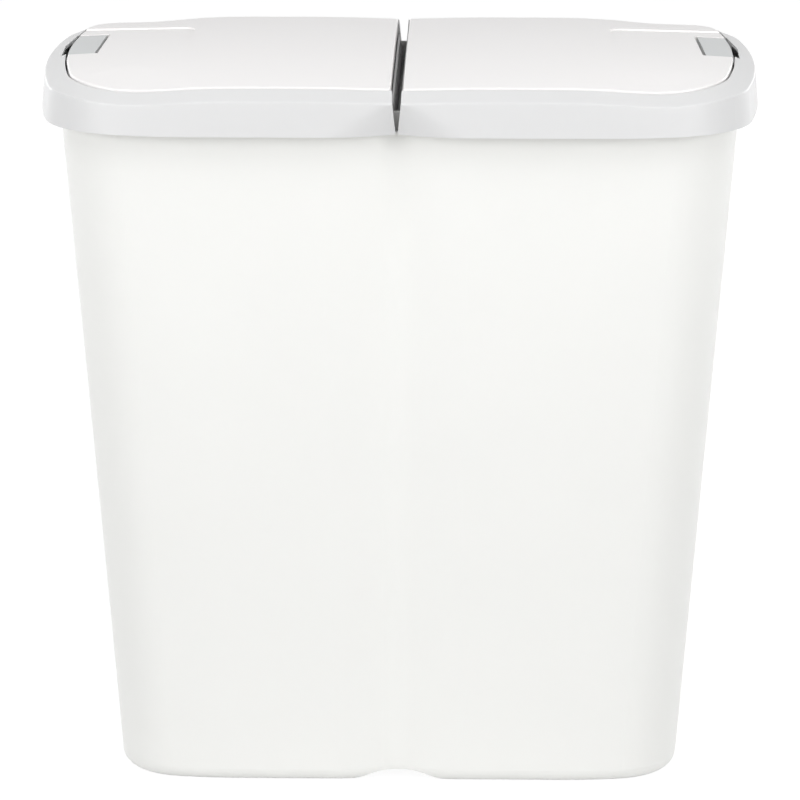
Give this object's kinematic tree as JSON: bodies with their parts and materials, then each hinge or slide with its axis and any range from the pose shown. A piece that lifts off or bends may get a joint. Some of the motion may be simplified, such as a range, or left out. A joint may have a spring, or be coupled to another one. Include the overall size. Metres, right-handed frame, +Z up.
{
  "type": "double recycling bin",
  "caption": "Free-standing moulded double bin with a divider, a hinged lid frame over each compartment, and in each frame a gently crowned flap that opens from its outer end, with a sliding catch there.",
  "frame": {"origin": "middle of the bin on the floor, under the gap between the lids", "axes": "+Z up, -Y to the front, +X to the bin's right-hand compartment as seen from the front"},
  "size_m": [0.48, 0.28, 0.489],
  "materials": {
    "body_white": "satin moulded polypropylene",
    "frame_grey": "satin moulded polypropylene",
    "flap_white": "satin moulded polypropylene",
    "catch_grey": "satin moulded polypropylene",
    "pin_steel": "bright drawn steel"
  },
  "bodies": {
    "root": {"body": "body_white", "hinge_pin_left_inner": "pin_steel", "hinge_pin_left_outer": "pin_steel", "hinge_pin_right_inner": "pin_steel", "hinge_pin_right_outer": "pin_steel"},
    "frame_left": {"lid_frame_left": "frame_grey", "flap_pin_left_front": "pin_steel", "flap_pin_left_rear": "pin_steel"},
    "flap_left": {"flap_left": "flap_white"},
    "catch_left": {"catch_left": "catch_grey", "catch_retainer_left": "catch_grey"},
    "frame_right": {"lid_frame_right": "frame_grey", "flap_pin_right_front": "pin_steel", "flap_pin_right_rear": "pin_steel"},
    "flap_right": {"flap_right": "flap_white"},
    "catch_right": {"catch_right": "catch_grey", "catch_retainer_right": "catch_grey"}
  },
  "joints": [
    {"name": "frame_left_lift", "type": "hinge", "parent": "root", "child": "frame_left", "pos_m": [-0.092, 0.1365, 0.4552], "axis": [-1, 0, 0], "range_deg": [0, 90]},
    {"name": "flap_left_open", "type": "hinge", "parent": "frame_left", "child": "flap_left", "pos_m": [-0.009, 0, 0.4785], "axis": [0, 1, 0], "range_deg": [0, 80]},
    {"name": "catch_left_slide", "type": "slide", "parent": "flap_left", "child": "catch_left", "axis": [1, 0, 0], "range_m": [0, 0.002], "stiffness_N_per_m": 300, "springref_m": -0.002},
    {"name": "frame_right_lift", "type": "hinge", "parent": "root", "child": "frame_right", "pos_m": [0.092, 0.1365, 0.4552], "axis": [-1, 0, 0], "range_deg": [0, 90]},
    {"name": "flap_right_open", "type": "hinge", "parent": "frame_right", "child": "flap_right", "pos_m": [0.009, 0, 0.4785], "axis": [0, -1, 0], "range_deg": [0, 80]},
    {"name": "catch_right_slide", "type": "slide", "parent": "flap_right", "child": "catch_right", "axis": [-1, 0, 0], "range_m": [0, 0.002], "stiffness_N_per_m": 300, "springref_m": -0.002}
  ]
}
